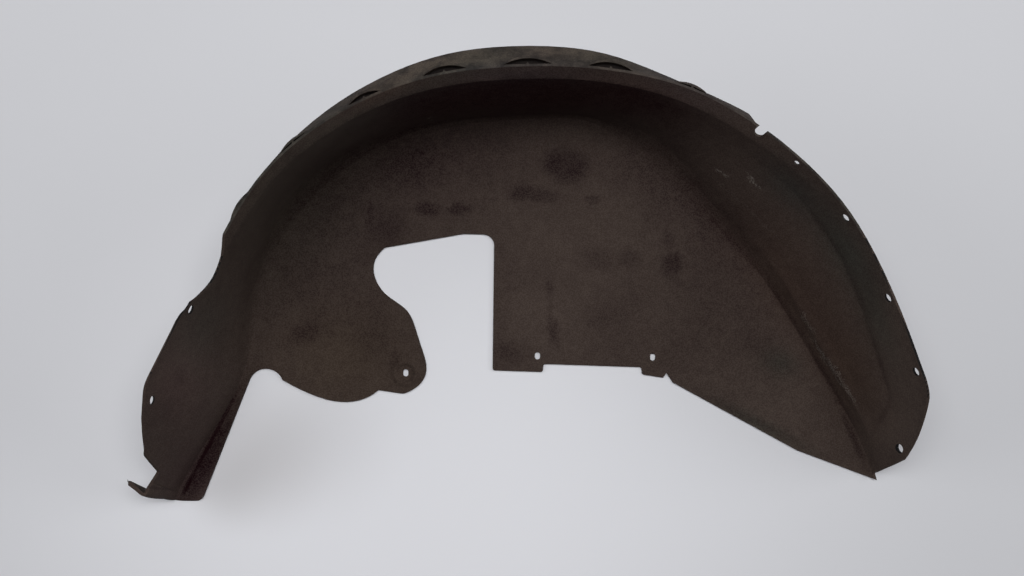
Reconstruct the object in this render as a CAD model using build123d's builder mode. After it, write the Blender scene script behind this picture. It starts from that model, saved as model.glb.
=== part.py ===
"""Wheel arch liner: one moulded plastic shell that lines the space round a car's front wheel.

It lies on its inner panel with the wheel side up: X runs along the car, Y points up
in the car and Z points out of the car. Millimetres.
"""

import os
from math import sqrt
from typing import NamedTuple

from build123d import *


class Station(NamedTuple):
    """One place round the arch."""

    root: tuple  # corner of the wall and the panel
    rim: tuple  # top edge of the wall
    cove: float  # radius of the root
    band_in: float = 0  # how far the foot of the band lies inside the line from root to rim
    bulge: float = 0  # how far the flare line lies outside the wall's straight line
    bead: float = 0  # how far the bead stands in from the wall
    skirt: float = 0  # how far the skirt reaches out of the rim


# Sheet and depth
WALL = 2.4
RIM_HEIGHT = 175.0

# Wall, from the foot of the left leg over the top to the right end
STATIONS = [
    Station((-423, -277), (-477, -277), cove=5),
    Station((-377, -190), (-431, -190), cove=5),
    Station((-331, -104), (-384, -102), cove=6),
    Station((-317, -15), (-337, -15), cove=16, band_in=1, skirt=2),
    Station((-297, 52), (-302, 50), cove=28, band_in=4, skirt=4),
    Station((-262, 112), (-262, 114), cove=38, band_in=6, skirt=7),
    Station((-208, 158), (-210, 163), cove=34, band_in=7, skirt=12),
    Station((-139, 190), (-138, 203), cove=24, band_in=7, skirt=19),
    Station((-64, 206), (-60, 225), cove=14, band_in=7, skirt=25),
    Station((16, 211), (20, 231), cove=10, band_in=7, skirt=26),
    Station((105, 207), (100, 227), cove=14, band_in=7, skirt=21),
    Station((165, 180), (175, 211), cove=34, band_in=7, skirt=9),
    Station((237, 102), (276.5, 153.5), cove=20, band_in=4, bulge=4, skirt=12),
    Station((302, 22), (347.5, 81.5), cove=8, bulge=10, bead=1),
    Station((338, -32), (384, 19), cove=6, bulge=11, bead=2.5),
    Station((369, -83), (407, -34), cove=6, bulge=10, bead=3),
    Station((416, -161), (437.5, -117), cove=6, bulge=4, bead=2),
    Station((450, -250), (490, -232), cove=6),
]
COVE_LEVELS = [0, 3, 8, 16, 28, 44, 60]
BEAD_LEVEL = 28

# Band under the rim, over the top of the arch
BAND_DROP = 17.0
BAND_HEIGHT = RIM_HEIGHT - BAND_DROP

# The right wall changes its slope along a line on this slanting plane below the rim
FLARE_DROP = 56.0
FLARE_HEIGHT = RIM_HEIGHT - FLARE_DROP
FLARE_TILT_X = -0.02
FLARE_TILT_Y = 0.12
FLARE_PLANE = Plane(origin=(0, 0, FLARE_HEIGHT), z_dir=(-FLARE_TILT_X, -FLARE_TILT_Y, 1))

# Lengths that only have to pass right through the part
FAR = 700.0
OPEN_Y = -320.0

# Skirt outside the rim, over the top of the arch
SKIRT_DROP = 26.0
SKIRT_SHEET = 1.33 * WALL
SKIRT_LEFT_Y = 57.0
SKIRT_RIGHT_X = 254.0

# Louvres along the rim: lens-shaped pockets behind a raised brow, each with a tooth
LOUVRE_OPENINGS = [0.8, 2.0, 5.0, 6.5, 6.5, 6.5, 2.0]
LOUVRE_LENGTHS = [36, 38, 37, 47, 51, 48, 36]
LOUVRE_MIDDLE = 4
LOUVRE_MIDDLE_AT = (16, 231)
LOUVRE_PITCH = 87.0
LOUVRE_DEPTH = 22.0
BROW_BELOW_RIM = 1.5
TOOTH_WIDTH = 5.0
TOOTH_LENGTH = 3.5

# Ends of the walls, as y and height
DIP_DEPTH = 27.0
DIP_START_Y = 57.0
DIP_END_Y = -14.0
CORNER_ROUND = 40.0
LEG_CHAMFER_Y = -101.0
LEG_SHOULDER = (-186.0, RIM_HEIGHT - 64)
LEG_NOTCH = (-214.0, RIM_HEIGHT - 110)
RIGHT_CHAMFER_Y = -108.0
RIGHT_BEND = (-150.0, RIM_HEIGHT - 39.5)
RIGHT_SHOULDER = (-197.5, RIM_HEIGHT - 97.5)
RIGHT_END = (-228.0, 6.0)

# Foot turned out at the end of the leg
FOOT_TOP = (-234.0, 69.0)
FOOT_BOTTOM = (-264.0, 0.0)
FOOT_REACH = 33.0
FOOT_BEND = 6.5
# Outer edge of the foot in plan, from its top on the wall
FOOT_EDGE = [(-27.5, 10), (-22.5, -2), (-9.5, -19.5), (10.5, -30.5)]

# Notch in the rim between the skirt and the right wall
RIM_NOTCH_AT = (263, 164.5)
RIM_NOTCH_WIDTH = 9.0
RIM_NOTCH_DEPTH = 10.0

# Round holes in the walls for clips: the rim x, y they lie under, their depth below it and radius
HOLE_RADIUS = 4.75
SMALL_HOLE_RADIUS = 3.0
WALL_HOLES = {
    "left_upper": (-342, -23, 12, HOLE_RADIUS),
    "left_lower": (-394, -120, 26, HOLE_RADIUS),
    "right_1": (302, 136, 7, SMALL_HOLE_RADIUS),
    "right_2": (353, 77, 9.5, HOLE_RADIUS),
    "right_3": (399, -8, 9.5, HOLE_RADIUS),
    "right_4": (431, -86, 10, HOLE_RADIUS),
    "right_5": (465, -174, 95.5, HOLE_RADIUS),
}

# Panel: slots, the pad on the tab and the corners of its lower edge
SLOT_LENGTH = 9.0
SLOT_WIDTH = 6.5
PANEL_SLOTS = [(31.5, -84), (174, -85.5)]
TAB_SLOT = (-131.5, -105)
TAB_PAD_RADIUS = 18.0
TAB_PAD_HEIGHT = 2.5
TAB_PAD_LIP = 3.0
STRIP_TOP = (-324, -112)
STRIP_END_X = -384
BELLY_END = (-165, -126.5)
NECK = (-134, -131)
CUT_OUT_LEFT = (-157, 50)
CUT_OUT_RIGHT = (-22, 66)
CUT_OUT_FOOT = (-24, -102)
STEP_UP = (38, -104)
STEP_UP_TOP = (39, -94)
STEP_DOWN_TOP = (160, -98)
STEP_DOWN = (161, -107)
TIP = (450, -237)

roots = [Vector(*s.root) for s in STATIONS]
rims = [Vector(*s.rim) for s in STATIONS]


def outward(places):
    """Unit vectors that point out of the arch at each place along it."""
    vectors = []
    for i in range(len(places)):
        before = places[max(i - 1, 0)]
        after = places[min(i + 1, len(places) - 1)]
        vectors.append((after - before).rotate(Axis.Z, 90).normalized())
    return vectors


def flare_z(place):
    """Height of the flare line over a place."""
    return FLARE_HEIGHT + FLARE_TILT_X * place.X + FLARE_TILT_Y * place.Y


def cove(radius, height):
    """How far a root of this radius stands in from the wall at a height over the panel."""
    if height >= radius:
        return 0
    return radius - sqrt(radius**2 - (radius - height) ** 2)


normals = outward(rims)
flares = []
bands = []
for station, root, rim, normal in zip(STATIONS, roots, rims, normals):
    halfway = root + (rim - root) * (FLARE_HEIGHT / RIM_HEIGHT)
    height = flare_z(halfway)
    flare_out = station.bulge - station.band_in * height / BAND_HEIGHT
    band_out = station.bulge * BAND_DROP / (RIM_HEIGHT - height) - station.band_in
    flares.append(root + (rim - root) * (height / RIM_HEIGHT) + normal * flare_out)
    bands.append(root + (rim - root) * (BAND_HEIGHT / RIM_HEIGHT) + normal * band_out)


def on_plane(plane, place):
    """The place straight above x, y on a plane, in the plane's own coordinates."""
    tilt = plane.z_dir
    gap = place - plane.origin
    z = plane.origin.Z - (gap.X * tilt.X + gap.Y * tilt.Y) / tilt.Z
    return plane.to_local_coords(Vector(place.X, place.Y, z))


def section(plane, places, open_y):
    """Section of the wheel space: the arch through its places, shut far below the liner."""
    first = places[0]
    last = places[-1]
    with BuildSketch(plane) as face:
        with BuildLine():
            Spline(*[on_plane(plane, p) for p in places])
            Polyline(
                on_plane(plane, last),
                on_plane(plane, Vector(last.X, open_y)),
                on_plane(plane, Vector(first.X, open_y)),
                on_plane(plane, first),
            )
        make_face()
    return face.sketch


def skin(grow, open_y):
    """Solid inside one skin of the wall: the wheel side, or the outside when grown."""
    sections = []
    for level in COVE_LEVELS:
        places = []
        for station, root, flare, normal in zip(STATIONS, roots, flares, normals):
            straight = root + (flare - root) * (level / flare_z(flare))
            bead = station.bead if level == BEAD_LEVEL else 0
            places.append(straight + normal * (grow - bead - cove(station.cove + grow, level)))
        sections.append(section(Plane.XY.offset(WALL - grow + level), places, open_y))
    upper = [
        (FLARE_PLANE, flares),
        (Plane.XY.offset(BAND_HEIGHT), bands),
        (Plane.XY.offset(RIM_HEIGHT), rims),
    ]
    for plane, line in upper:
        sections.append(section(plane, [p + n * grow for p, n in zip(line, normals)], open_y))
    with BuildPart() as solid:
        loft(sections=sections, ruled=True)
    return solid.part


def leg_place(y, z):
    """Place on the wheel side of the leg's straight wall."""
    low = roots[0] + (roots[1] - roots[0]) * ((y - roots[0].Y) / (roots[1].Y - roots[0].Y))
    high = rims[0] + (rims[1] - rims[0]) * ((y - rims[0].Y) / (rims[1].Y - rims[0].Y))
    return Vector(low.X + (high.X - low.X) * z / RIM_HEIGHT, y, z)


with BuildLine():
    rim_line = Spline(*[Vector(p.X, p.Y, RIM_HEIGHT) for p in rims])
    flare_line = Spline(*[Vector(p.X, p.Y, flare_z(p)) for p in flares])
    root_line = Spline(*[Vector(p.X, p.Y, WALL) for p in roots])


def rim_share(x, y):
    """How far along the rim its nearest point to x, y lies, from 0 to 1."""
    near = rim_line.closest_points(Vertex(x, y, RIM_HEIGHT))[0]
    return rim_line.param_at_point(near)


def rim_frame(share):
    """Plane on the rim: its x runs along the rim and its y points outwards."""
    return Plane(origin=rim_line @ share, x_dir=rim_line % share, z_dir=(0, 0, 1))


def hole_frame(x, y, depth):
    """Plane on the wheel side of the wall, below the rim: its z points out of the wall."""
    share = rim_share(x, y)
    height = RIM_HEIGHT - depth
    above, below = rim_line, flare_line
    if height < (flare_line @ share).Z:
        above, below = flare_line, root_line
    rise = (above @ share) - (below @ share)
    down = ((above @ share).Z - height) / rise.Z
    along = (above % share) * (1 - down) + (below % share) * down
    return Plane(origin=(above @ share) - rise * down, x_dir=rise, z_dir=rise.cross(along))


def corner(sketch, place):
    """The vertex of a sketch at a place."""
    return sketch.vertices().sort_by_distance(place)[0]


hole_frames = {name: hole_frame(x, y, depth) for name, (x, y, depth, radius) in WALL_HOLES.items()}
outer_skin = skin(WALL, OPEN_Y)
inner_skin = skin(0, OPEN_Y - 20)

# Skirt: a brim that slopes down outside the rim
skirt_top = [p + n * WALL for p, n in zip(rims, normals)]
skirt_edge = [p + n * (WALL + s.skirt) for p, n, s in zip(rims, normals, STATIONS)]
with BuildPart() as brim:
    loft(
        sections=[
            section(Plane.XY.offset(RIM_HEIGHT), skirt_top, OPEN_Y),
            section(Plane.XY.offset(RIM_HEIGHT - SKIRT_DROP), skirt_edge, OPEN_Y),
        ],
        ruled=True,
    )

with BuildPart() as skirt:
    add(brim.part)
    add(brim.part.moved(Location((0, 0, -SKIRT_SHEET))), mode=Mode.SUBTRACT)
    add(outer_skin, mode=Mode.SUBTRACT)
    with Locations((0, SKIRT_LEFT_Y, RIM_HEIGHT)):
        Box(2 * FAR, FAR, FAR, align=(Align.CENTER, Align.MAX, Align.CENTER), mode=Mode.SUBTRACT)
    with Locations((SKIRT_RIGHT_X, 0, RIM_HEIGHT)):
        Box(FAR, 2 * FAR, FAR, align=(Align.MIN, Align.CENTER, Align.CENTER), mode=Mode.SUBTRACT)

with BuildPart() as liner:
    add(outer_skin)
    add(inner_skin, mode=Mode.SUBTRACT)
    add(skirt.part)

    # Louvres at an even pitch along the rim
    for i, (opening, length) in enumerate(zip(LOUVRE_OPENINGS, LOUVRE_LENGTHS)):
        half = length / 2
        share = rim_share(*LOUVRE_MIDDLE_AT) + (i - LOUVRE_MIDDLE) * LOUVRE_PITCH / rim_line.length
        frame = rim_frame(share)
        with BuildSketch(frame.offset(-BROW_BELOW_RIM)):
            with BuildLine():
                brow = ThreePointArc(
                    (-half - WALL, WALL / 2), (0, opening + 2 * WALL), (half + WALL, WALL / 2)
                )
                Line(brow @ 1, brow @ 0)
            make_face()
        extrude(amount=-LOUVRE_DEPTH)
        with BuildSketch(frame):
            with BuildLine():
                eye = ThreePointArc((-half, WALL), (0, opening + WALL), (half, WALL))
                Line(eye @ 1, eye @ 0)
            make_face()
        extrude(amount=-LOUVRE_DEPTH, mode=Mode.SUBTRACT)
        with BuildSketch(frame):
            with Locations((0, WALL / 2)):
                Triangle(
                    a=TOOTH_WIDTH,
                    b=sqrt(TOOTH_WIDTH**2 / 4 + TOOTH_LENGTH**2),
                    c=sqrt(TOOTH_WIDTH**2 / 4 + TOOTH_LENGTH**2),
                    align=(Align.CENTER, Align.MIN),
                )
        extrude(amount=-WALL)

    # Dip in the left wall below the end of the skirt
    with BuildSketch(Plane.YZ):
        with BuildLine():
            dip = Spline(
                (DIP_START_Y, RIM_HEIGHT),
                (DIP_START_Y - 27, RIM_HEIGHT - 0.74 * DIP_DEPTH),
                (DIP_END_Y + 22, RIM_HEIGHT - DIP_DEPTH),
                (DIP_END_Y + 9, RIM_HEIGHT - 0.63 * DIP_DEPTH),
                (DIP_END_Y, RIM_HEIGHT),
            )
            Polyline(dip @ 1, (DIP_END_Y, FAR), (DIP_START_Y, FAR), dip @ 0)
        make_face()
    extrude(amount=-FAR, mode=Mode.SUBTRACT)

    # End of the left leg
    with BuildSketch(Plane.YZ) as leg_end:
        with BuildLine():
            Polyline(
                (0, RIM_HEIGHT),
                (LEG_CHAMFER_Y, RIM_HEIGHT),
                LEG_SHOULDER,
                LEG_NOTCH,
                FOOT_TOP,
                FOOT_BOTTOM,
                (FOOT_BOTTOM[0], -FAR),
                (-FAR, -FAR),
                (-FAR, FAR),
                (0, FAR),
                close=True,
            )
        make_face()
        fillet(corner(leg_end, (LEG_CHAMFER_Y, RIM_HEIGHT)), CORNER_ROUND)
        fillet(corner(leg_end, LEG_SHOULDER), CORNER_ROUND / 2)
        fillet(corner(leg_end, LEG_NOTCH), 4)
    extrude(amount=-FAR, mode=Mode.SUBTRACT)

    # End of the right wall
    with BuildSketch(Plane.YZ) as right_end:
        with BuildLine():
            rim_edge = Line((0, RIM_HEIGHT), (RIGHT_CHAMFER_Y, RIM_HEIGHT))
            bow = ThreePointArc(rim_edge @ 1, RIGHT_BEND, RIGHT_SHOULDER)
            Polyline(
                bow @ 1, RIGHT_END, (-FAR, RIGHT_END[1]), (-FAR, FAR), (0, FAR), rim_edge @ 0
            )
        make_face()
        fillet(corner(right_end, (RIGHT_CHAMFER_Y, RIM_HEIGHT)), CORNER_ROUND)
        fillet(corner(right_end, RIGHT_SHOULDER), CORNER_ROUND / 4)
    extrude(amount=FAR, mode=Mode.SUBTRACT)

    # Lower edge of the panel: crook beside the leg, round tab, cut-out and steps
    with BuildSketch() as lower_edge:
        with BuildLine():
            strip = Line((STRIP_END_X, FOOT_BOTTOM[0]), STRIP_TOP)
            crook = ThreePointArc(strip @ 1, (-306, -100), (-284, -114))
            belly = Spline(crook @ 1, (-260, -126.5), (-201, -141), BELLY_END)
            neck = Line(belly @ 1, NECK)
            tab = Spline(
                neck @ 1, (-106, -100), (-115, -65), (-131, -27), (-156, -8), (-171, 18), CUT_OUT_LEFT
            )
            Polyline(
                tab @ 1,
                (-60, 67),
                CUT_OUT_RIGHT,
                CUT_OUT_FOOT,
                STEP_UP,
                STEP_UP_TOP,
                STEP_DOWN_TOP,
                STEP_DOWN,
                (187, -111),
                (191, -105),
                (199, -117),
                (307, -176),
                (353, -201),
                TIP,
                (TIP[0] + 110, TIP[1] - 41),
                (TIP[0] + 110, -FAR),
                (-FAR, -FAR),
                (-FAR, FOOT_BOTTOM[0]),
                strip @ 0,
            )
        make_face()
        fillet(corner(lower_edge, strip @ 0), 12)
        fillet(corner(lower_edge, strip @ 1), 8)
        fillet(corner(lower_edge, NECK), 12)
        fillet(corner(lower_edge, CUT_OUT_LEFT), 8)
        fillet(corner(lower_edge, CUT_OUT_RIGHT), 14)
        for place in (CUT_OUT_FOOT, STEP_UP, STEP_UP_TOP, STEP_DOWN_TOP, STEP_DOWN):
            fillet(corner(lower_edge, place), 3)
    extrude(amount=30, mode=Mode.SUBTRACT)

    # Foot at the end of the leg, bent out of the arch
    foot_start = leg_place(*FOOT_BOTTOM)
    foot_run = leg_place(*FOOT_TOP) - foot_start
    leg_down = leg_place(*FOOT_BOTTOM) - leg_place(FOOT_BOTTOM[0] + 1, FOOT_BOTTOM[1])
    with BuildSketch(Plane(origin=foot_start, x_dir=leg_down, z_dir=foot_run)):
        with BuildLine():
            Polyline((0, -WALL), (-9, -WALL), (-9, 0), (0, 0))
            RadiusArc((0, 0), (FOOT_BEND, -FOOT_BEND), FOOT_BEND)
            Polyline(
                (FOOT_BEND, -FOOT_BEND),
                (FOOT_BEND, -FOOT_REACH),
                (FOOT_BEND - WALL, -FOOT_REACH),
                (FOOT_BEND - WALL, -FOOT_BEND),
            )
            RadiusArc((FOOT_BEND - WALL, -FOOT_BEND), (0, -WALL), WALL - FOOT_BEND)
        make_face()
    extrude(amount=foot_run.length)
    with BuildSketch():
        with BuildLine():
            foot_top = leg_place(*FOOT_TOP)
            foot_edge = Spline(*[(foot_top.X + x, foot_top.Y + y) for x, y in FOOT_EDGE])
            Polyline(
                foot_edge @ 1,
                ((foot_edge @ 1).X, -FAR),
                (-FAR, -FAR),
                (-FAR, (foot_edge @ 0).Y),
                foot_edge @ 0,
            )
        make_face()
    extrude(amount=FOOT_TOP[1] + FOOT_REACH, mode=Mode.SUBTRACT)

    # Notch in the rim
    notch = rim_frame(rim_share(*RIM_NOTCH_AT))
    with BuildSketch(Plane(origin=notch.origin, x_dir=notch.x_dir, z_dir=notch.y_dir)):
        SlotOverall(2 * RIM_NOTCH_DEPTH, RIM_NOTCH_WIDTH, rotation=90)
    extrude(amount=20, both=True, mode=Mode.SUBTRACT)

    # Holes in the walls, and the slots and pad of the panel
    for name, frame in hole_frames.items():
        with Locations(frame.location):
            Cylinder(WALL_HOLES[name][3], 40, mode=Mode.SUBTRACT)
    base = (Align.CENTER, Align.CENTER, Align.MIN)
    with Locations((*TAB_SLOT, WALL)):
        Cone(TAB_PAD_RADIUS, TAB_PAD_RADIUS - TAB_PAD_LIP, TAB_PAD_HEIGHT, align=base)
        dish = TAB_PAD_RADIUS - 2 * TAB_PAD_LIP
        Cone(SLOT_LENGTH, dish, TAB_PAD_HEIGHT, align=base, mode=Mode.SUBTRACT)
    with BuildSketch():
        with Locations(*PANEL_SLOTS, TAB_SLOT):
            SlotOverall(SLOT_LENGTH, SLOT_WIDTH, rotation=90)
    extrude(amount=20, mode=Mode.SUBTRACT)

    # Nothing reaches below the panel
    Box(2 * FAR, 2 * FAR, FAR, align=(Align.CENTER, Align.CENTER, Align.MAX), mode=Mode.SUBTRACT)

# The middle of its box stands over the origin
box = liner.part.bounding_box()
shift = Location((-box.center().X, -box.center().Y, 0))
with BuildPart() as placed:
    add(liner.part.moved(shift))

placed.part.label = "wheel_arch_liner"
os.makedirs("parts", exist_ok=True)
export_step(placed.part, "parts/wheel_arch_liner.step")
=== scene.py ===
import math

import bmesh
import bpy
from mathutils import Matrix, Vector, noise
from mathutils.bvhtree import BVHTree


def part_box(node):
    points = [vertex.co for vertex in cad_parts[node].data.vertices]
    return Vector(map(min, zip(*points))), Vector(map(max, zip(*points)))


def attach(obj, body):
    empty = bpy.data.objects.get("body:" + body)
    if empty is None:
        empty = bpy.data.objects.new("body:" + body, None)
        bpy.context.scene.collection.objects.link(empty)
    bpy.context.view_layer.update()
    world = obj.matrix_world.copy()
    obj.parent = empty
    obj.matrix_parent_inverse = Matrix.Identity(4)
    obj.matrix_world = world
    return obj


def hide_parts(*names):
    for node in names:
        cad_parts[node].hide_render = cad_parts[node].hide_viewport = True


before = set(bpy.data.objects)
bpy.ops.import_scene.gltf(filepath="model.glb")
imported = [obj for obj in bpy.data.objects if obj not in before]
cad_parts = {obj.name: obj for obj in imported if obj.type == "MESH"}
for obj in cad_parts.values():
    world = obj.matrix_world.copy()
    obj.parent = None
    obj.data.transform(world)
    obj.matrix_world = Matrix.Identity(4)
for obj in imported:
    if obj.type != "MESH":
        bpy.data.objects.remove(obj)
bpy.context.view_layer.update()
scene = bpy.context.scene

# The photograph's camera, straight above the liner, in the row frame
CAMERA = Vector((-0.0000971, 0.0022942, 1.1))
FOCAL_PX = 887.0
PHOTO_WIDTH = 1024
MIDDLE = (512, 288)
# Heights of the liner: its sheet, its rim, just under the rim, its foot
SHEET = 0.0024
RIM_Z = 0.175
UNDER_RIM = 0.172
FOOT_Z = 0.09


def pixel_size(place):
    """How much one pixel of the photograph covers at the height of a place."""
    return (CAMERA.z - place.z) / FOCAL_PX


def at_pixel(px, py):
    """The place at height 0 that the photograph shows at a pixel."""
    reach = CAMERA.z / FOCAL_PX
    return Vector((CAMERA.x + (px - MIDDLE[0]) * reach, CAMERA.y + (MIDDLE[1] - py) * reach, 0))


def to_pixel(place):
    """The photograph's pixel that shows a place."""
    reach = FOCAL_PX / (CAMERA.z - place.z)
    return MIDDLE[0] + (place.x - CAMERA.x) * reach, MIDDLE[1] - (place.y - CAMERA.y) * reach


def clamp(value):
    """A value kept between 0 and 1."""
    return min(1, max(0, value))


def between(rows, at):
    """A table's values at a place between two of its rows, or None outside the table."""
    for low, high in zip(rows, rows[1:]):
        if low[0] <= at < high[0]:
            part = (at - low[0]) / (high[0] - low[0])
            return [a + (b - a) * part for a, b in zip(low[1:], high[1:])]
    return None


# Mesh: the moulded shell, cut into a fine even net so that it can carry small shapes
NET_STEP = 0.008
NET_START = 0.613 * NET_STEP
# The wheel's middle, the corner of the region over the top, and the corner of the foot's region
HUB = Vector((0, -0.15))
TOP_Y, TOP_Z = 0.06, 0.13
LIP_X, LIP_Y = -0.40, -0.21
# The floors of the louvres' pockets in the solid, and how far they are lifted
POCKET_Z = 0.153
POCKET_LIFT = 0.014


def sort_faces(bm):
    """Marks each face as cut edge, skirt, back or inside of a louvre; the rest is the wheel side."""
    tree = BVHTree.FromBMesh(bm)
    names = ("cut", "skirt", "back", "eye")
    for name in names:
        bm.faces.layers.float.new(name)
    cut, skirt, back, eye = (bm.faces.layers.float[name] for name in names)
    for f in bm.faces:
        c, n = f.calc_center_median(), f.normal
        through = tree.ray_cast(c - n * 1e-5, -n)[3]
        outside = (HUB - c.xy).dot(n.xy) < 0
        thin = through is not None and through < 2.2 * SHEET
        over_top = c.y > TOP_Y and c.z > TOP_Z
        on_lip = c.x < LIP_X and c.y < LIP_Y and c.z < FOOT_Z
        if on_lip and n.z > -0.3:
            pass
        elif over_top and n.z > 0.9 and abs(c.z - POCKET_Z) < 0.001:
            f[eye] = 1
        elif over_top and (n.z > 0.9 or outside and n.z > 0):
            f[skirt] = clamp((n.z - 0.1) / 0.4)
            f[back] = 1 - f[skirt]
        elif n.z > 0.25 and (thin or c.z < 0.02):
            pass
        elif not thin:
            f[cut] = 1
            f[eye] = over_top and n.z > -0.5
        elif n.z < -0.6 or outside:
            f[back] = 1


def lift_pockets(bm):
    """The louvres' pockets are shallow, so that their floors show; floors and walls carry a painted shade
    colour in place of the shadowed space behind the louvres.
    """
    eye = bm.faces.layers.float["eye"]
    floors = [f for f in bm.faces if f[eye] and f.normal.z > 0.9]
    for v in {v for f in floors for v in f.verts}:
        v.co.z += POCKET_LIFT


def fine_mesh(source):
    """The solid's mesh with its faces sorted, cut at even steps along the three axes."""
    bm = bmesh.new()
    bm.from_mesh(source)
    bmesh.ops.remove_doubles(bm, verts=bm.verts, dist=2e-6)
    bm.normal_update()
    sort_faces(bm)
    lift_pockets(bm)
    low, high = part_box("wheel_arch_liner")
    for axis in range(3):
        direction = Vector((0, 0, 0))
        direction[axis] = 1
        place = low[axis] + NET_START
        while place < high[axis]:
            geom = bm.verts[:] + bm.edges[:] + bm.faces[:]
            bmesh.ops.bisect_plane(bm, geom=geom, dist=1e-5, plane_co=direction * place, plane_no=direction)
            place += NET_STEP
    return bm


def warp(place):
    """Slight waves that a thin moulding takes on: the same for both sides of the sheet."""
    swell = 0.0008 * (1 + noise.noise(Vector((place.x * 5.5, place.y * 5.5, 3.1))))
    lean = 0.0009 * place.z / RIM_Z
    side_x = lean * noise.noise(Vector((place.x * 9, place.y * 9, 11.7)))
    side_y = lean * noise.noise(Vector((place.x * 9, place.y * 9, 23.9)))
    return place + Vector((side_x, side_y, swell * min(1, 0.3 + place.z / 0.05)))


# The foot's lip in the photograph: pixel column, and how far its lower edge lies below the solid's
LIP = [(122, 2.6), (131, 3.0), (140, 4.0), (148, 3.4), (156, 1.2), (164, -1.8), (174, -0.6), (184, 0.0)]
# The fold above the lip: column and row of its left end, its slope and its width
FOLD_X, FOLD_Y, FOLD_SLOPE, FOLD_WIDTH = 126, 479.5, 0.43, 21
# The lip's tip: the column where it begins, how far it reaches up over the fold, and its blunt end
TIP_X, TIP_RISE, TIP_END = 131, 4, 128.5


def lip_shift(place):
    """How far a place on the foot's lip moves, in y."""
    px, py = to_pixel(place)
    drop = between(LIP, px)
    if place.z > FOOT_Z or drop is None:
        return 0
    fold = FOLD_Y + min(px - FOLD_X, FOLD_WIDTH) * FOLD_SLOPE - TIP_RISE * clamp((TIP_X - px) / 3)
    return -drop[0] * clamp((py - fold - 0.5) / 3) * pixel_size(place)


def tip_shift(place):
    """How far a place beyond the blunt end of the foot's lip moves back, in x."""
    return 0.8 * max(0, TIP_END - to_pixel(place)[0]) * pixel_size(place)


# The notch in the right rim: its pixel, how far round it the rim moves, and where to, in pixels
NOTCH_AT, NOTCH_REACH, NOTCH_MOVE = (760, 131), 12, (-3.5, -1.5)


def notch_shift(place):
    """How far a place by the notch moves."""
    px, py = to_pixel(place)
    away = math.hypot(px - NOTCH_AT[0], py - NOTCH_AT[1])
    share = max(0, 1 - away / NOTCH_REACH) * pixel_size(place)
    return Vector((NOTCH_MOVE[0] * share, -NOTCH_MOVE[1] * share, 0))


# The leg's free edge: pixel row, column of the solid's edge, and how far right of it the photograph's lies
LEG_EDGE = [
    (292, 199.5, 0.0),
    (298, 191.4, 2.2),
    (304, 184.2, 3.8),
    (310, 180.9, 2.6),
    (316, 177.6, -0.6),
    (330, 170.1, 0.4),
    (370, 148.8, 1.6),
    (394, 141.5, 0.9),
    (418, 142.1, -1.3),
    (434, 142.2, -0.6),
    (450, 142.1, 1.5),
    (462, 148.5, 0.0),
]
LEG_REACH = 12


def leg_shift(place):
    """How far a place on the leg moves in x: the whole way at the edge, less with each pixel in from it."""
    px, py = to_pixel(place)
    values = between(LEG_EDGE, py)
    if values is None:
        return 0
    edge, move = values
    return move * max(0, 1 - max(0, px - edge) / LEG_REACH) * pixel_size(place)


# Holes that the photograph shows at another turn: pixel, then half sizes in pixels and turn
# in degrees, as the solid has them and as the photograph has them
HOLE_SHAPES = [
    (150.9, 399.8, (4.08, 1.50, 128), (3.9, 1.4, 99)),
    (189.3, 309.7, (3.55, 1.13, 124), (3.6, 1.4, 105)),
    (900.5, 447.8, (3.48, 1.22, 61), (4.0, 2.1, 73)),
]
HOLE_REACH, HOLE_FADE = 6, 1.5
WALL_REACH = 14


def wall_normal(bm, px, py):
    """The wheel side's direction next to a pixel."""
    total = Vector((0, 0, 0))
    for f in bm.faces:
        x, y = to_pixel(f.calc_center_median())
        if math.hypot(x - px, y - py) < WALL_REACH and f.normal.z > 0:
            total += f.normal * f.calc_area()
    return total.normalized()


def turned(u, v, degrees):
    """A step turned by an angle."""
    c, s = math.cos(math.radians(degrees)), math.sin(math.radians(degrees))
    return c * u - s * v, s * u + c * v


def reshape_hole(bm, hole):
    """Moves a hole's edge along the wall until it shows as the photograph has it."""
    px, py, solid, photo = hole
    normal = wall_normal(bm, px, py)
    for vert in bm.verts:
        x, y = to_pixel(vert.co)
        u, v = x - px, y - py
        share = clamp((HOLE_REACH - math.hypot(u, v)) / HOLE_FADE)
        if share > 0 and vert.co.z < UNDER_RIM:
            along, across = turned(u, v, -solid[2])
            new_u, new_v = turned(along * photo[0] / solid[0], across * photo[1] / solid[1], photo[2])
            aim = at_pixel(x + (new_u - u) * share, y + (new_v - v) * share) - CAMERA
            vert.co = CAMERA + aim * ((vert.co - CAMERA).dot(normal) / aim.dot(normal))
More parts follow.
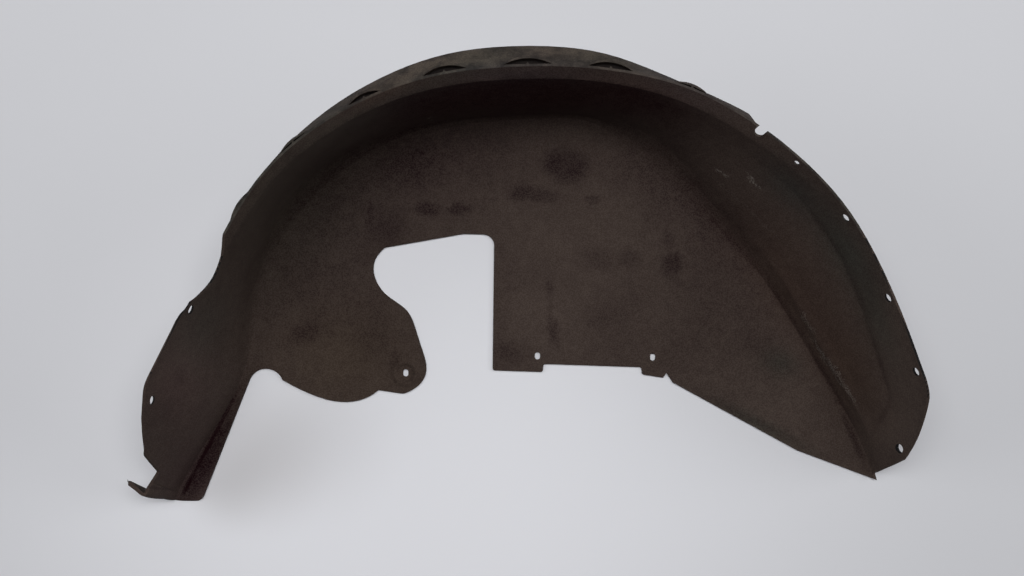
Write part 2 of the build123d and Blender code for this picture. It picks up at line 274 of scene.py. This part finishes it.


# Dust and painted shade, by where the photograph shows them: pixel, half sizes in pixels, turn in degrees,
# and how much more or less of it lies there. Less dust next to the walls is painted shade.
DUST_AND_SHADE_PATCHES = [
    # Painted shade: the first seven make the panel darker next to the top and side walls
    (480, 150, 85, 34, -12, -0.28),
    (400, 165, 60, 40, -30, -0.20),
    (335, 215, 62, 60, -45, -0.31),
    (300, 285, 45, 60, -60, -0.16),
    (672, 182, 85, 42, 38, -0.24),
    (722, 232, 70, 22, 52, -0.18),
    (705, 285, 30, 55, -20, -0.18),
    (600, 235, 95, 55, 10, 0.22),
    (545, 325, 50, 55, 0, 0.12),
    (780, 420, 80, 40, 25, 0.24),
    (340, 372, 45, 26, 10, 0.14),
    (374, 328, 24, 30, 18, -0.15),
    (178, 366, 30, 36, 0, 0.30),
    (165, 440, 30, 26, 0, -0.08),
    # Painted shade on the leg's strip, next to the crease at the foot of its wall
    (210, 456, 70, 11, -62, -0.66),
    # Painted shade on the panel under the top wall
    (420, 160, 60, 30, -20, -0.18),
    (880, 325, 16, 36, -18, 0.14),
    (850, 250, 14, 30, -30, 0.08),
    (160, 492, 26, 5, 12, 0.18),
    (906, 390, 24, 44, -18, 0.28),
    (892, 432, 24, 22, 0, 0.32),
    (530, 74, 80, 9, 0, -0.12),
    (560, 132, 45, 14, 0, 0.17),
    (330, 128, 30, 10, -40, 0.06),
    (545, 322, 40, 40, 0, 0.10),
    (748, 185, 40, 18, 38, 0.18),
    (838, 300, 60, 14, 62, 0.06),
    (900, 330, 14, 60, -16, 0.16),
]
# Painted shade: the wall over the top, between its cove and its band, gets much less dust, so that its
# inside, which faces away from the lamps, is darker
PAINTED_SHADE_TOP_WALL = [
    (520, 92, 175, 26, 0, -0.70),
    (400, 125, 70, 30, -32, -0.22),
    (318, 185, 80, 26, -50, -0.17),
    (665, 112, 60, 20, 22, -0.26),
]
BAND_Z = 0.1575
COVE_Z = 0.012
EVEN_DUST = 0.62
# Hues: pixel, half sizes, turn, and the share of red, green and blue that it keeps
TINT_PATCHES = [
    (790, 188, 34, 16, 42, (0.80, 0.96, 1.00)),
    (845, 250, 18, 48, -32, (0.84, 1.06, 1.06)),
    (876, 318, 13, 42, -20, (0.90, 1.03, 1.02)),
    (780, 362, 17, 12, 20, (0.86, 1.02, 1.00)),
    (757, 424, 50, 6, 27, (0.84, 1.00, 0.98)),
    (790, 280, 34, 80, -36, (1.02, 0.94, 0.89)),
    (848, 372, 24, 60, -28, (0.98, 0.90, 0.83)),
    (520, 75, 60, 9, 0, (0.95, 1.00, 1.12)),
    (345, 355, 75, 55, 0, (1.01, 1.00, 0.90)),
    (178, 385, 30, 40, 0, (1.06, 0.97, 1.02)),
    (200, 478, 30, 40, 28, (1.02, 0.95, 1.06)),
    (560, 97, 190, 20, 0, (1.08, 0.94, 0.98)),
    (420, 90, 90, 14, -25, (0.92, 1.03, 1.02)),
    (600, 58, 50, 10, 8, (1.06, 1.08, 1.02)),
    (690, 92, 50, 12, 24, (0.92, 1.00, 1.05)),
    (460, 60, 50, 10, -12, (1.36, 1.30, 1.20)),
    (385, 88, 36, 10, -30, (1.20, 1.16, 1.08)),
    (545, 52, 34, 8, 0, (1.24, 1.18, 1.14)),
    (300, 200, 60, 90, 45, (0.93, 1.03, 0.98)),
    (205, 325, 24, 40, 30, (0.93, 1.02, 1.02)),
]


def patch(px, py, spot):
    """How strongly a soft round patch shows at a pixel."""
    x, y, rx, ry, turn = spot[:5]
    u, v = turned(px - x, py - y, -turn)
    return math.exp(-((u / rx) ** 2 + (v / ry) ** 2))


def dust_and_shade_at(px, py, z):
    """How heavily a place is dusted; next to the walls, painted shade takes some of it off."""
    spots = DUST_AND_SHADE_PATCHES + PAINTED_SHADE_TOP_WALL if COVE_Z < z < BAND_Z else DUST_AND_SHADE_PATCHES
    return EVEN_DUST + sum(spot[5] * patch(px, py, spot) for spot in spots)


def tint_at(px, py):
    """The hue of a place, as shares of red, green and blue."""
    tint = Vector((1, 1, 1))
    for spot in TINT_PATCHES:
        share = patch(px, py, spot)
        tint *= Vector([1 + (k - 1) * share for k in spot[5]])
    return tint


# The pad round the tab's slot is soft; elsewhere an edge over this angle stays sharp
TAB_PAD = Vector((-0.1316, -0.1027, SHEET))
TAB_PAD_REACH = 0.019
CREASE = math.radians(26)
# Pixels of the photograph to one unit of the map that the marks are placed on
MAP_PX = 100

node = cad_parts["wheel_arch_liner"]
bm = fine_mesh(node.data)
for hole in HOLE_SHAPES:
    reshape_hole(bm, hole)
bm.verts.layers.float.new("dust_and_shade")
bm.verts.layers.float_vector.new("tint")
bm.loops.layers.uv.new("from_above")
dust_and_shade_layer = bm.verts.layers.float["dust_and_shade"]
tint_layer = bm.verts.layers.float_vector["tint"]
above_layer = bm.loops.layers.uv["from_above"]
for f in bm.faces:
    f.smooth = True
    for corner in f.loops:
        px, py = to_pixel(corner.vert.co)
        corner[above_layer].uv = px / MAP_PX, py / MAP_PX
for e in bm.edges:
    near_pad = (e.verts[0].co - TAB_PAD).length < TAB_PAD_REACH
    on_pad = near_pad and all(f.normal.z > 0.3 for f in e.link_faces)
    e.smooth = on_pad or len(e.link_faces) == 2 and e.calc_face_angle(0) < CREASE
for v in bm.verts:
    px, py = to_pixel(v.co)
    v[dust_and_shade_layer] = dust_and_shade_at(px, py, v.co.z)
    v[tint_layer] = tint_at(px, py)
    v.co += notch_shift(v.co)
    v.co.x += leg_shift(v.co) + tip_shift(v.co)
    v.co.y += lip_shift(v.co)
    v.co = warp(v.co)
mesh = bpy.data.meshes.new("liner_shell")
bm.to_mesh(mesh)
bm.free()
shell = bpy.data.objects.new("liner_shell", mesh)
scene.collection.objects.link(shell)


# Material: black plastic under road dust
def new_material(name):
    """A material with its node tree and its shader."""
    material = bpy.data.materials.new(name)
    material.use_nodes = True
    tree = material.node_tree
    shader = tree.nodes["Principled BSDF"]
    return material, tree, shader


class Net:
    """Short calls for the nodes of one material."""

    def __init__(self, tree):
        self.tree = tree

    def add(self, kind, values=(), **settings):
        n = self.tree.nodes.new(kind)
        for key, value in settings.items():
            setattr(n, key, value)
        for key, value in dict(values).items():
            self.feed(n.inputs[key], value)
        return n

    def feed(self, socket, value):
        if isinstance(value, bpy.types.NodeSocket):
            self.tree.links.new(value, socket)
        else:
            socket.default_value = value

    def mark(self, name):
        return self.add("ShaderNodeAttribute", attribute_name=name).outputs["Fac"]

    def math(self, operation, a, b=0.0, clamp=False):
        return self.add("ShaderNodeMath", {0: a, 1: b}, operation=operation, use_clamp=clamp).outputs[0]

    def noise(self, vector, scale, detail=2.0, roughness=0.5):
        values = {"Vector": vector, "Scale": scale, "Detail": detail, "Roughness": roughness}
        return self.add("ShaderNodeTexNoise", values).outputs["Fac"]

    def ramp(self, value, low, high, out_low=0.0, out_high=1.0):
        values = {0: value, 1: low, 2: high, 3: out_low, 4: out_high}
        return self.add("ShaderNodeMapRange", values, interpolation_type="SMOOTHSTEP").outputs[0]

    def blend(self, share, a, b, kind="MIX"):
        n = self.add("ShaderNodeMix", data_type="RGBA", blend_type=kind)
        self.feed(n.inputs[0], share)
        self.feed(n.inputs[6], a)
        self.feed(n.inputs[7], b)
        return n.outputs[2]

    def blob(self, spot, px, py, rx, ry, turn=0.0, soft=0.5):
        """1 inside an ellipse round a pixel and 0 outside, with a soft edge."""
        own = self.add(
            "ShaderNodeMapping",
            {
                "Vector": spot,
                "Location": (px / MAP_PX, py / MAP_PX, 0),
                "Rotation": (0, 0, math.radians(turn)),
                "Scale": (rx / MAP_PX, ry / MAP_PX, 1.0),
            },
            vector_type="TEXTURE",
        ).outputs[0]
        away = self.add("ShaderNodeVectorMath", {0: own}, operation="LENGTH").outputs["Value"]
        return self.ramp(away, 1.0 + soft, 1.0 - soft)

    def marks(self, spot, spots):
        """All the blobs of a list together, each with its own strength."""
        total = None
        for px, py, rx, ry, turn, strength, soft in spots:
            one = self.math("MULTIPLY", self.blob(spot, px, py, rx, ry, turn, soft), strength)
            total = one if total is None else self.math("MAXIMUM", total, one)
        return total


# Stains, and painted shade along the lower right edge, where the photograph shows them: pixel, half sizes,
# turn, strength, softness
STAINS_AND_EDGE_SHADE = [
    (567, 166, 22, 17, 15, 0.52, 0.45),
    (573, 170, 12, 10, 0, 0.64, 0.6),
    (521, 193, 13, 8, -8, 0.50, 0.6),
    (541, 196, 18, 6, 4, 0.42, 0.7),
    (427, 210, 13, 7, 10, 0.48, 0.6),
    (459, 209, 12, 6, -5, 0.44, 0.6),
    (592, 200, 7, 4, 0, 0.32, 0.7),
    (673, 264, 10, 11, 0, 0.55, 0.6),
    (668, 240, 6, 9, -15, 0.30, 0.8),
    (596, 259, 16, 10, 0, 0.28, 0.8),
    (629, 258, 11, 9, 0, 0.30, 0.8),
    (549, 288, 3.5, 9, -4, 0.40, 0.7),
    (553, 331, 5, 12, -8, 0.50, 0.7),
    (551, 310, 2, 20, -4, 0.25, 0.9),
    (304, 334, 17, 9, -20, 0.35, 0.9),
    (392, 228, 16, 20, 35, 0.28, 0.9),
    (511, 352, 16, 9, 5, 0.30, 0.9),
    (600, 315, 22, 14, 0, 0.15, 0.9),
    (768, 352, 26, 14, 30, 0.22, 0.9),
    (395, 361, 5, 10, 20, 0.22, 0.8),
    (181, 377, 5, 9, 10, 0.30, 0.8),
    (160, 410, 14, 10, 0, 0.15, 0.9),
    # Painted shade along the lower right edge
    (757, 422, 52, 4.5, 27, 0.34, 0.9),
    (370, 216, 3.5, 12, 4, 0.28, 0.8),
    (396, 230, 5, 9, -10, 0.26, 0.8),
    (764, 349, 9, 7, 0, 0.22, 0.9),
]
# Painted shade that darkens the corners at the foot of the walls and along the crease of the right wall
PAINTED_CORNER_SHADE = [
    (215, 434, 52, 2.0, -62, 0.50, 0.6),
    (188, 485, 12, 2.4, -62, 0.50, 0.6),
    (157, 488, 9, 1.4, 8, 0.40, 0.6),
    (748, 258, 45, 3, 47, 0.20, 0.9),
    (790, 316, 46, 3, 58, 0.34, 0.8),
    (829, 382, 46, 3, 60, 0.42, 0.7),
    (853, 437, 26, 3.5, 66, 0.48, 0.7),
    (829, 238, 36, 2.4, 55, 0.25, 0.9),
    (857, 292, 36, 2.4, 68, 0.28, 0.9),
    (879, 360, 40, 2.4, 72, 0.32, 0.9),
    (884, 412, 17, 2.6, 118, 0.28, 0.9),
]
# Pale scuffs
SCUFFS = [
    (722, 172, 8, 1.3, 32, 0.85, 0.6),
    (753, 182, 8, 1.3, 48, 0.85, 0.6),
    (748, 175, 4, 1.0, 40, 0.4, 0.6),
    (820, 351, 13, 2.0, 58, 0.60, 0.7),
    (834, 371, 14, 2.2, 58, 0.70, 0.7),
    (848, 392, 13, 2.2, 60, 0.62, 0.7),
    (806, 322, 14, 1.8, 60, 0.35, 0.7),
    (745, 207, 50, 1.2, 42, 0.10, 0.8),
    (430, 118, 3, 1.0, 0, 0.4, 0.7),
]

# Colours of the plastic, bare and under dust, and painted shade for the louvres' pockets
CLEAN = (0.0165, 0.0091, 0.0084, 1)
DUST = (0.0635, 0.0472, 0.0398, 1)
SCUFF = (0.16, 0.14, 0.125, 1)
SKIRT_DARK = (0.022, 0.0190, 0.0178, 1)
SKIRT_PALE = (0.066, 0.0545, 0.0465, 1)
SKIRT_SPECK = (0.020, 0.018, 0.017, 1)
BACK_CLEAN = (0.021, 0.0185, 0.018, 1)
BACK_DUST = (0.058, 0.047, 0.041, 1)
CUT = (0.012, 0.011, 0.011, 1)
EYE_PAINTED_SHADE = (0.0105, 0.0082, 0.0076, 1)

plastic, tree, shader = new_material("dusty_plastic")
net = Net(tree)
place = net.add("ShaderNodeTexCoord").outputs["Object"]
above = net.add("ShaderNodeUVMap", uv_map="from_above").outputs["UV"]
patches = net.noise(place, 16.0, 3.0, 0.6)
mottle = net.noise(place, 95.0, 4.0, 0.65)
specks = net.noise(place, 640.0, 2.0, 0.6)
wander = net.add("ShaderNodeTexNoise", {"Vector": place, "Scale": 120.0, "Detail": 3.0}).outputs["Color"]
wander = net.add("ShaderNodeVectorMath", {0: wander, 1: (0.5, 0.5, 0.5)}, operation="SUBTRACT").outputs[0]
wander = net.add("ShaderNodeVectorMath", {0: wander, "Scale": 0.13}, operation="SCALE").outputs[0]
ragged = net.add("ShaderNodeVectorMath", {0: above, 1: wander}, operation="ADD").outputs[0]
calm = net.add("ShaderNodeVectorMath", {0: wander, "Scale": 0.2}, operation="SCALE").outputs[0]
calm = net.add("ShaderNodeVectorMath", {0: above, 1: calm}, operation="ADD").outputs[0]

# This value carries the dusting and also painted shade: by the walls, in the corners and along the lower
# right edge
dust_and_shade = net.math("ADD", net.mark("dust_and_shade"), net.ramp(patches, 0.35, 0.65, -0.06, 0.06))
dust_and_shade = net.math("ADD", dust_and_shade, net.ramp(mottle, 0.35, 0.65, -0.07, 0.07))
dust_and_shade = net.math("ADD", dust_and_shade, net.ramp(specks, 0.38, 0.62, -0.22, 0.22))
stained_and_shaded = net.math("MULTIPLY", net.marks(ragged, STAINS_AND_EDGE_SHADE), net.ramp(mottle, 0.3, 0.6, 0.6, 1.1))
dust_and_shade = net.math("SUBTRACT", dust_and_shade, stained_and_shaded)
# Painted shade in the corners and creases, taken off the dust
corner_shade = net.math("MULTIPLY", net.marks(calm, PAINTED_CORNER_SHADE), net.ramp(mottle, 0.3, 0.6, 0.7, 1.05))
dust_and_shade = net.math("SUBTRACT", dust_and_shade, corner_shade)
scuffed = net.math("MULTIPLY", net.marks(ragged, SCUFFS), net.ramp(specks, 0.42, 0.6, 0.0, 1.0))
dust_and_shade = net.math("MAXIMUM", dust_and_shade, -0.25)
colour = net.add("ShaderNodeMix", data_type="RGBA", clamp_factor=False)
net.feed(colour.inputs[0], dust_and_shade)
net.feed(colour.inputs[6], CLEAN)
net.feed(colour.inputs[7], DUST)
tinted = net.add("ShaderNodeAttribute", attribute_name="tint").outputs["Color"]
colour = net.blend(1.0, colour.outputs[2], tinted, "MULTIPLY")
colour = net.blend(scuffed, colour, SCUFF)
smears = net.noise(place, 34.0, 6.0, 0.72)
skirt_colour = net.blend(net.ramp(smears, 0.35, 0.65), SKIRT_DARK, SKIRT_PALE)
skirt_colour = net.blend(net.ramp(specks, 0.4, 0.6, 0.0, 0.35), skirt_colour, SKIRT_SPECK)
skirt_colour = net.blend(1.0, skirt_colour, tinted, "MULTIPLY")
colour = net.blend(net.mark("skirt"), colour, skirt_colour)
long = net.add("ShaderNodeMapping", {"Vector": place, "Scale": (1.0, 1.0, 0.12)}).outputs[0]
streaks = net.noise(long, 90.0, 4.0, 0.65)
back_dust = net.math("ADD", net.ramp(streaks, 0.35, 0.7, 0.0, 0.5), net.ramp(patches, 0.4, 0.65, 0.0, 0.5))
back_dust = net.math("ADD", back_dust, net.ramp(specks, 0.38, 0.62, -0.15, 0.15), clamp=True)
back_colour = net.blend(back_dust, BACK_CLEAN, BACK_DUST)
colour = net.blend(net.mark("back"), colour, back_colour)
colour = net.blend(net.mark("cut"), colour, CUT)
# Painted shade inside the louvres
colour = net.blend(net.mark("eye"), colour, EYE_PAINTED_SHADE)
tree.links.new(colour, shader.inputs["Base Color"])
tree.links.new(net.ramp(dust_and_shade, 0.0, 1.0, 0.62, 0.92), shader.inputs["Roughness"])
shader.inputs["Specular IOR Level"].default_value = 0.045
bump = net.add("ShaderNodeBump", {"Height": specks, "Strength": 0.3, "Distance": 0.0006})
tree.links.new(bump.outputs[0], shader.inputs["Normal"])
mesh.materials.append(plastic)

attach(shell, "root")
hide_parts("wheel_arch_liner")

# Floor, room and lamps
FLOOR_HALF = 6
FLOOR_Z = -0.0004
PAPER_DIM = (0.64, 0.645, 0.675, 1)
PAPER_PAINTED_LIGHT = (0.79, 0.795, 0.835, 1)
PAPER_PAINTED_SHADOW = (0.58, 0.57, 0.585, 1)
ROOM = (0.6, 0.605, 0.63, 1)
AMBIENT = (0.06, 0.06, 0.062, 1)
# Painted soft shadow on the floor by the leg: pixel, reach and strength
PAINTED_LEG_SHADOWS = [(225, 488, 0.07, 0.45), (255, 464, 0.11, 0.62), (310, 440, 0.13, 0.35)]

floor_mesh = bpy.data.meshes.new("floor")
corners = [(x * FLOOR_HALF, y * FLOOR_HALF, 0) for x, y in [(-1, -1), (1, -1), (1, 1), (-1, 1)]]
floor_mesh.from_pydata(corners, [], [(0, 1, 2, 3)])
floor = bpy.data.objects.new("floor", floor_mesh)
floor.location.z = FLOOR_Z
scene.collection.objects.link(floor)
paper, paper_tree, paper_shader = new_material("pale_floor")
pnet = Net(paper_tree)
floor_place = pnet.add("ShaderNodeTexCoord").outputs["Object"]


def from_pixel(px, py):
    """How far a place on the floor lies from a pixel of the photograph."""
    values = {0: floor_place, 1: at_pixel(px, py)}
    return pnet.add("ShaderNodeVectorMath", values, operation="DISTANCE").outputs["Value"]


# Painted light: the floor is made paler round a point below the liner, where the walls shade it
paper_colour = pnet.blend(pnet.ramp(from_pixel(400, 520), 0.74, 0.1), PAPER_DIM, PAPER_PAINTED_LIGHT)
# Painted shadow by the leg, laid over the floor's colour
for px, py, reach, strength in PAINTED_LEG_SHADOWS:
    shade = pnet.ramp(from_pixel(px, py), reach, 0.0, 0.0, strength)
    paper_colour = pnet.blend(shade, paper_colour, PAPER_PAINTED_SHADOW)
paper_tree.links.new(paper_colour, paper_shader.inputs["Base Color"])


def seen_by(net):
    """1 for the rays that show the background, 0 for those that carry light to the liner."""
    rays = net.add("ShaderNodeLightPath")
    seen = net.math("MAXIMUM", rays.outputs["Is Camera Ray"], rays.outputs["Is Transmission Ray"])
    return net.math("MAXIMUM", seen, rays.outputs["Is Glossy Ray"])


# Far off, the camera sees the floor as pale as the room
far = pnet.math("MULTIPLY", pnet.ramp(from_pixel(*MIDDLE), 0.85, 1.7), seen_by(pnet))
haze = pnet.add("ShaderNodeEmission", {"Color": ROOM})
mixed = pnet.add("ShaderNodeMixShader", {0: far, 1: paper_shader.outputs[0], 2: haze.outputs[0]})
paper_tree.links.new(mixed.outputs[0], paper_tree.nodes["Material Output"].inputs["Surface"])
paper_shader.inputs["Roughness"].default_value = 0.9
paper_shader.inputs["Specular IOR Level"].default_value = 0.1
floor_mesh.materials.append(paper)

world = bpy.data.worlds.new("room")
scene.world = world
world.use_nodes = True
backdrop = world.node_tree.nodes["Background"]
backdrop.inputs["Strength"].default_value = 1.0
wnet = Net(world.node_tree)
wnet.feed(backdrop.inputs["Color"], wnet.blend(seen_by(wnet), AMBIENT, ROOM))


def area_light(name, place, aim, size, power):
    """Adds a flat lamp that faces a place."""
    lamp = bpy.data.lights.new(name, "AREA")
    lamp.shape = "RECTANGLE"
    lamp.size, lamp.size_y = size
    lamp.energy = power
    obj = bpy.data.objects.new(name, lamp)
    obj.location = place
    obj.rotation_euler = (Vector(aim) - Vector(place)).to_track_quat("-Z", "Y").to_euler()
    scene.collection.objects.link(obj)


area_light("ceiling", (0, 0.62, 2.5), (0, 0.1, 0), (2.4, 0.8), 52)
area_light("left_box", (-3.9, 0.4, 1.9), (0, 0, 0), (2.4, 1.8), 37)
area_light("right_box", (3.9, 0.4, 1.9), (0, 0, 0), (2.4, 1.8), 45)

# Camera
lens = bpy.data.cameras.new("camera")
lens.sensor_width = 36.0
lens.lens = FOCAL_PX / PHOTO_WIDTH * lens.sensor_width
camera = bpy.data.objects.new("camera", lens)
camera.location = CAMERA
scene.collection.objects.link(camera)
scene.camera = camera
scene.view_settings.view_transform = "Standard"
